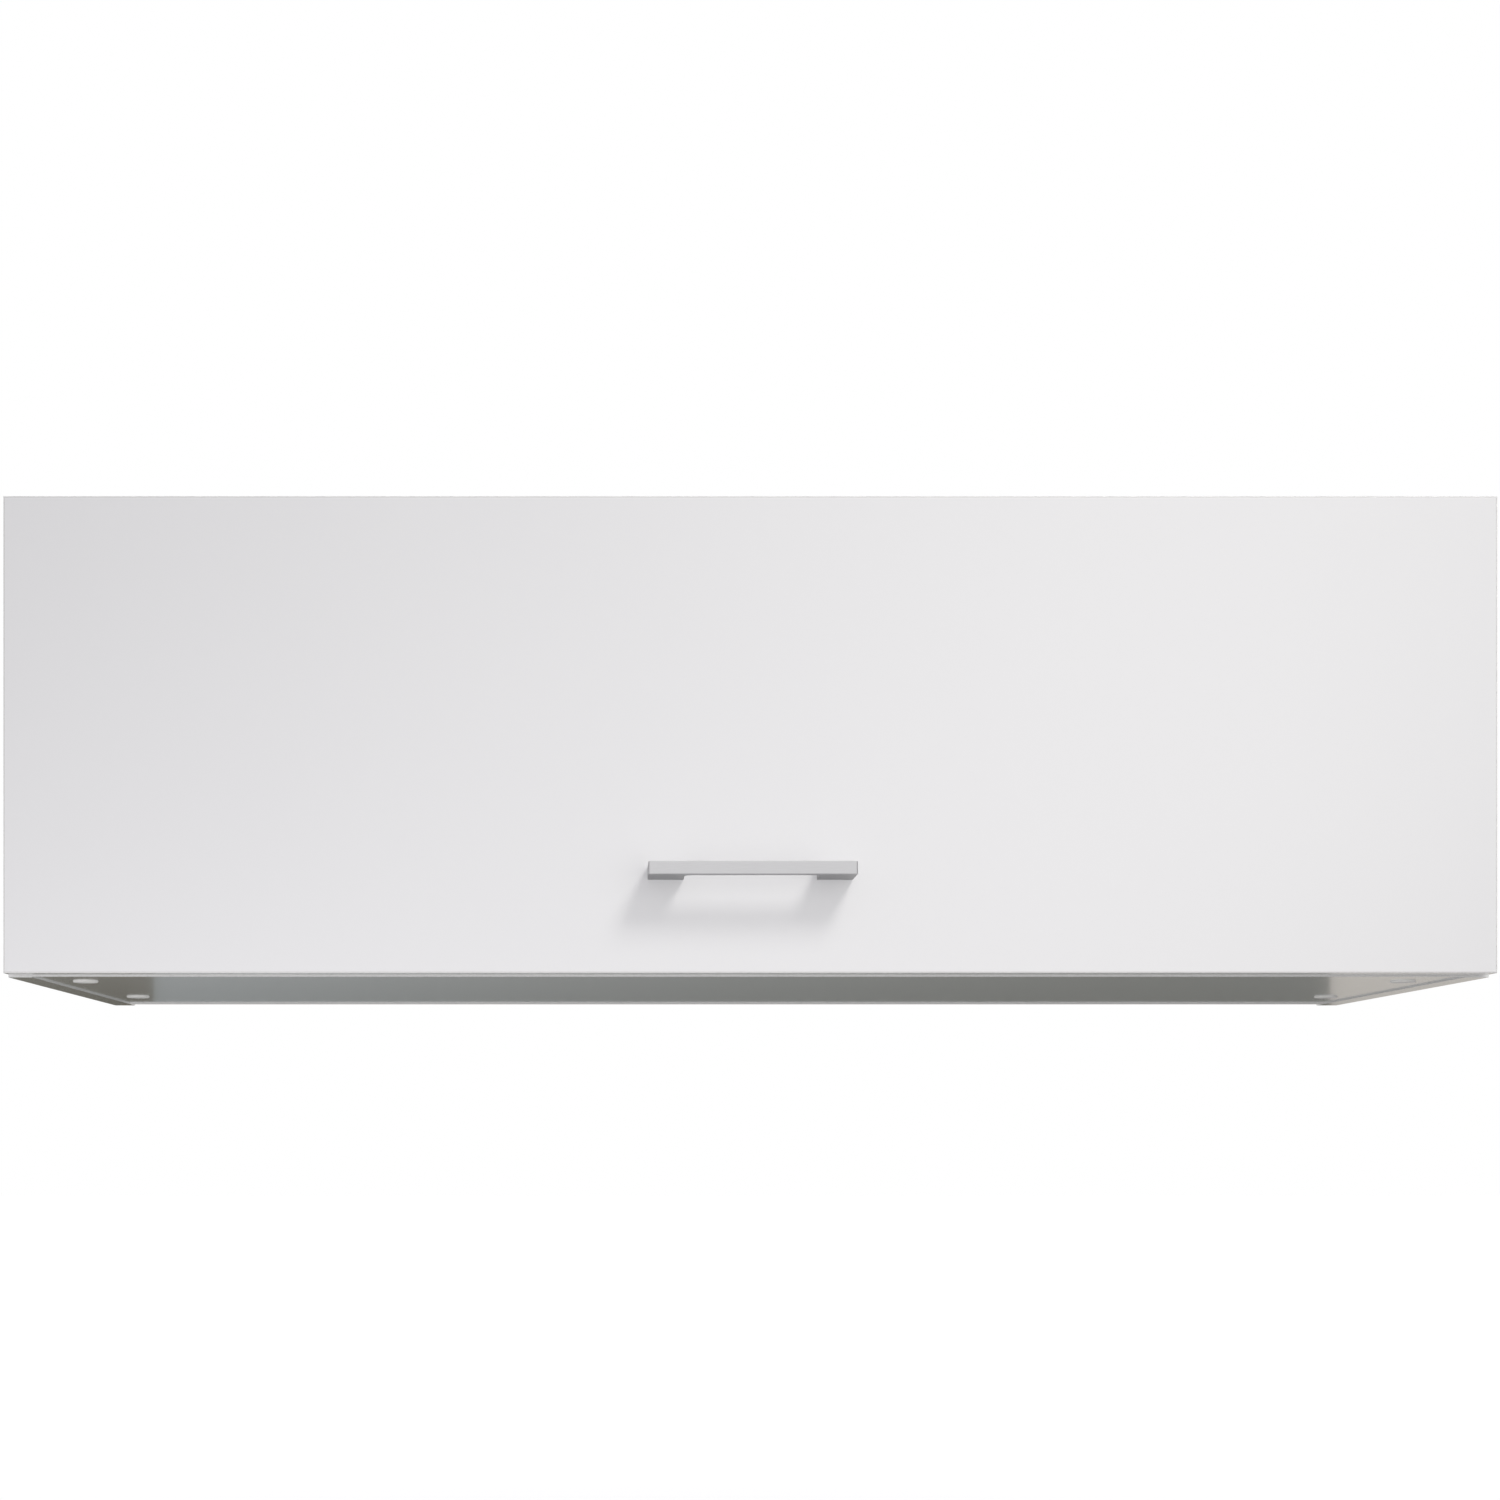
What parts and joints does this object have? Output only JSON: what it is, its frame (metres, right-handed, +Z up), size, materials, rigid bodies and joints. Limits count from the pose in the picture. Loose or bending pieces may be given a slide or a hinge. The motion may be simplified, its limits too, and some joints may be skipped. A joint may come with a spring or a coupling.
{
  "type": "lift up wall cabinet",
  "caption": "Low wide white wall cabinet with one lift up flap, an aluminium bridge handle, concealed hinges, spring lifts and hidden wall hangers.",
  "frame": {"origin": "on the wall plane, on the hanging line, halfway between the four screw holes of the wall plates", "axes": "+Z up, -Y out of the wall towards the flap, +X to the right seen from the front"},
  "size_m": [1, 0.351, 0.32],
  "materials": {
    "white_board": "white melamine faced chipboard, fine satin grain",
    "white_edging": "white edge band, satin",
    "back_board": "white lacquered hardboard",
    "flap_front": "smooth satin white front",
    "flap_edging": "white edge band, satin, rounded arris",
    "satin_aluminium": "satin, brushed along its length",
    "cap_plastic": "matt white plastic",
    "beech": "raw beech, fluted",
    "clear_bumper": "clear soft plastic",
    "hanger_plastic": "white moulded plastic",
    "lift_plastic": "grey moulded plastic",
    "cover_plastic": "light grey moulded plastic, satin",
    "cam_zinc": "die cast zinc",
    "zinc_plate": "zinc plated steel",
    "lift_steel": "nickel plated steel",
    "nickel": "nickel plated",
    "screw_steel": "zinc plated steel"
  },
  "bodies": {
    "carcass": {"back_panel": "back_board", "back_screws": "screw_steel", "bottom_panel": "white_board", "cam_bolts": "screw_steel", "cam_cover_caps": "cap_plastic", "cams_bottom": "cam_zinc", "cams_top": "cam_zinc", "carcass_edging": "white_edging", "dowels": "beech", "hanger_hook_left": "zinc_plate", "hanger_hook_right": "zinc_plate", "hanger_housing_left": "hanger_plastic", "hanger_housing_right": "hanger_plastic", "hanger_screws": "screw_steel", "hinge_arm_left": "nickel", "hinge_arm_right": "nickel", "hinge_arm_screws": "screw_steel", "hinge_plate_left": "nickel", "hinge_plate_right": "nickel", "hinge_plate_screws": "screw_steel", "housing_screws": "screw_steel", "lever_pins": "screw_steel", "lift_cover_left": "cover_plastic", "lift_cover_right": "cover_plastic", "lift_housing_left": "lift_plastic", "lift_housing_right": "lift_plastic", "side_panel_left": "white_board", "side_panel_right": "white_board", "top_panel": "white_board", "wall_plate_left": "zinc_plate", "wall_plate_right": "zinc_plate"},
    "flap": {"bracket_pins": "screw_steel", "bracket_screws": "screw_steel", "flap_bumpers": "clear_bumper", "flap_edging": "flap_edging", "flap_panel": "flap_front", "handle": "satin_aluminium", "handle_screws": "screw_steel", "hinge_cup_left": "nickel", "hinge_cup_right": "nickel", "hinge_cup_screws": "screw_steel", "hinge_pins": "screw_steel", "lift_bracket_left": "lift_steel", "lift_bracket_right": "lift_steel"},
    "lift_lever_left": {"lift_lever_left": "lift_steel", "knee_pin_left": "screw_steel"},
    "lift_link_left": {"lift_link_left": "lift_steel"},
    "lift_lever_right": {"lift_lever_right": "lift_steel", "knee_pin_right": "screw_steel"},
    "lift_link_right": {"lift_link_right": "lift_steel"}
  },
  "joints": [
    {"name": "flap_lift", "type": "hinge", "parent": "carcass", "child": "flap", "pos_m": [0, -0.3143, 0.0497], "axis": [-1, 0, 0], "range_deg": [0, 95]},
    {"name": "lift_lever_pivot_left", "type": "hinge", "parent": "carcass", "child": "lift_lever_left", "pos_m": [-0.4605, -0.207, -0.017], "axis": [-1, 0, 0], "range_deg": [0, 96]},
    {"name": "lift_link_pivot_left", "type": "hinge", "parent": "lift_lever_left", "child": "lift_link_left", "pos_m": [-0.4605, -0.1857, -0.101], "axis": [-1, 0, 0], "range_deg": [-96, 0]},
    {"name": "lift_lever_pivot_right", "type": "hinge", "parent": "carcass", "child": "lift_lever_right", "pos_m": [0.4605, -0.207, -0.017], "axis": [-1, 0, 0], "range_deg": [0, 96]},
    {"name": "lift_link_pivot_right", "type": "hinge", "parent": "lift_lever_right", "child": "lift_link_right", "pos_m": [0.4605, -0.1857, -0.101], "axis": [-1, 0, 0], "range_deg": [-96, 0]}
  ],
  "couplings": [
    {"joint": "lift_lever_pivot_left", "follows": "flap_lift", "ratio": 1},
    {"joint": "lift_link_pivot_left", "follows": "flap_lift", "ratio": -1},
    {"joint": "lift_lever_pivot_right", "follows": "flap_lift", "ratio": 1},
    {"joint": "lift_link_pivot_right", "follows": "flap_lift", "ratio": -1}
  ]
}
